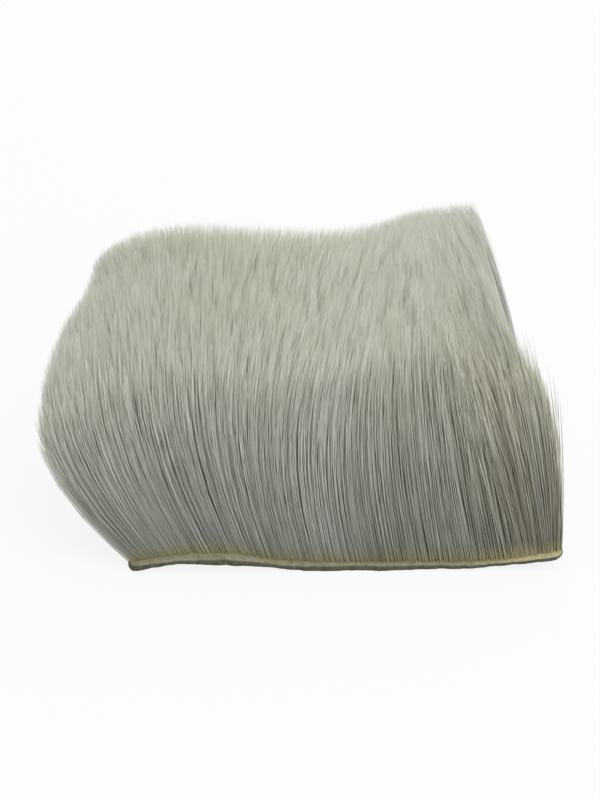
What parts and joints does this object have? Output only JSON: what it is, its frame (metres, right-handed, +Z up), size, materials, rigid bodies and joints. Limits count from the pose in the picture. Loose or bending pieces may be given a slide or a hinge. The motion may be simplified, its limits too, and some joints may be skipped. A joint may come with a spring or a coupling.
{
  "type": "natural hair patch",
  "caption": "Patch of dense straight pale hair on a thin tanned hide, resting hide down with the hair standing up.",
  "frame": {"origin": "on the table under the middle of the hide, where its underside is flat", "axes": "+X along the hide towards its lifted end, +Y from the front edge to the back edge, +Z up along the hair"},
  "size_m": [0.1071, 0.0777, 0.048],
  "materials": {
    "skin": "matte tanned skin with a pale cut edge and a rough flesh side",
    "hair": "dense straight natural hair, blue-grey at the root and grey-cream at the tip"
  },
  "bodies": {
    "root": {"hair_lock_r1_c01": "hair", "hair_lock_r1_c02": "hair", "hair_lock_r1_c03": "hair", "hair_lock_r1_c04": "hair", "hair_lock_r1_c05": "hair", "hair_lock_r1_c06": "hair", "hair_lock_r1_c07": "hair", "hair_lock_r1_c08": "hair", "hair_lock_r1_c09": "hair", "hair_lock_r1_c10": "hair", "hair_lock_r1_c11": "hair", "hair_lock_r2_c01": "hair", "hair_lock_r2_c02": "hair", "hair_lock_r2_c03": "hair", "hair_lock_r2_c04": "hair", "hair_lock_r2_c05": "hair", "hair_lock_r2_c06": "hair", "hair_lock_r2_c07": "hair", "hair_lock_r2_c08": "hair", "hair_lock_r2_c09": "hair", "hair_lock_r2_c10": "hair", "hair_lock_r2_c11": "hair", "hair_lock_r3_c01": "hair", "hair_lock_r3_c02": "hair", "hair_lock_r3_c03": "hair", "hair_lock_r3_c04": "hair", "hair_lock_r3_c05": "hair", "hair_lock_r3_c06": "hair", "hair_lock_r3_c07": "hair", "hair_lock_r3_c08": "hair", "hair_lock_r3_c09": "hair", "hair_lock_r3_c10": "hair", "hair_lock_r3_c11": "hair", "hair_lock_r4_c01": "hair", "hair_lock_r4_c02": "hair", "hair_lock_r4_c03": "hair", "hair_lock_r4_c04": "hair", "hair_lock_r4_c05": "hair", "hair_lock_r4_c06": "hair", "hair_lock_r4_c07": "hair", "hair_lock_r4_c08": "hair", "hair_lock_r4_c09": "hair", "hair_lock_r4_c10": "hair", "hair_lock_r4_c11": "hair", "hair_lock_r5_c01": "hair", "hair_lock_r5_c02": "hair", "hair_lock_r5_c03": "hair", "hair_lock_r5_c04": "hair", "hair_lock_r5_c05": "hair", "hair_lock_r5_c06": "hair", "hair_lock_r5_c07": "hair", "hair_lock_r5_c08": "hair", "hair_lock_r5_c09": "hair", "hair_lock_r5_c10": "hair", "hair_lock_r5_c11": "hair", "hide": "skin"}
  },
  "joints": []
}
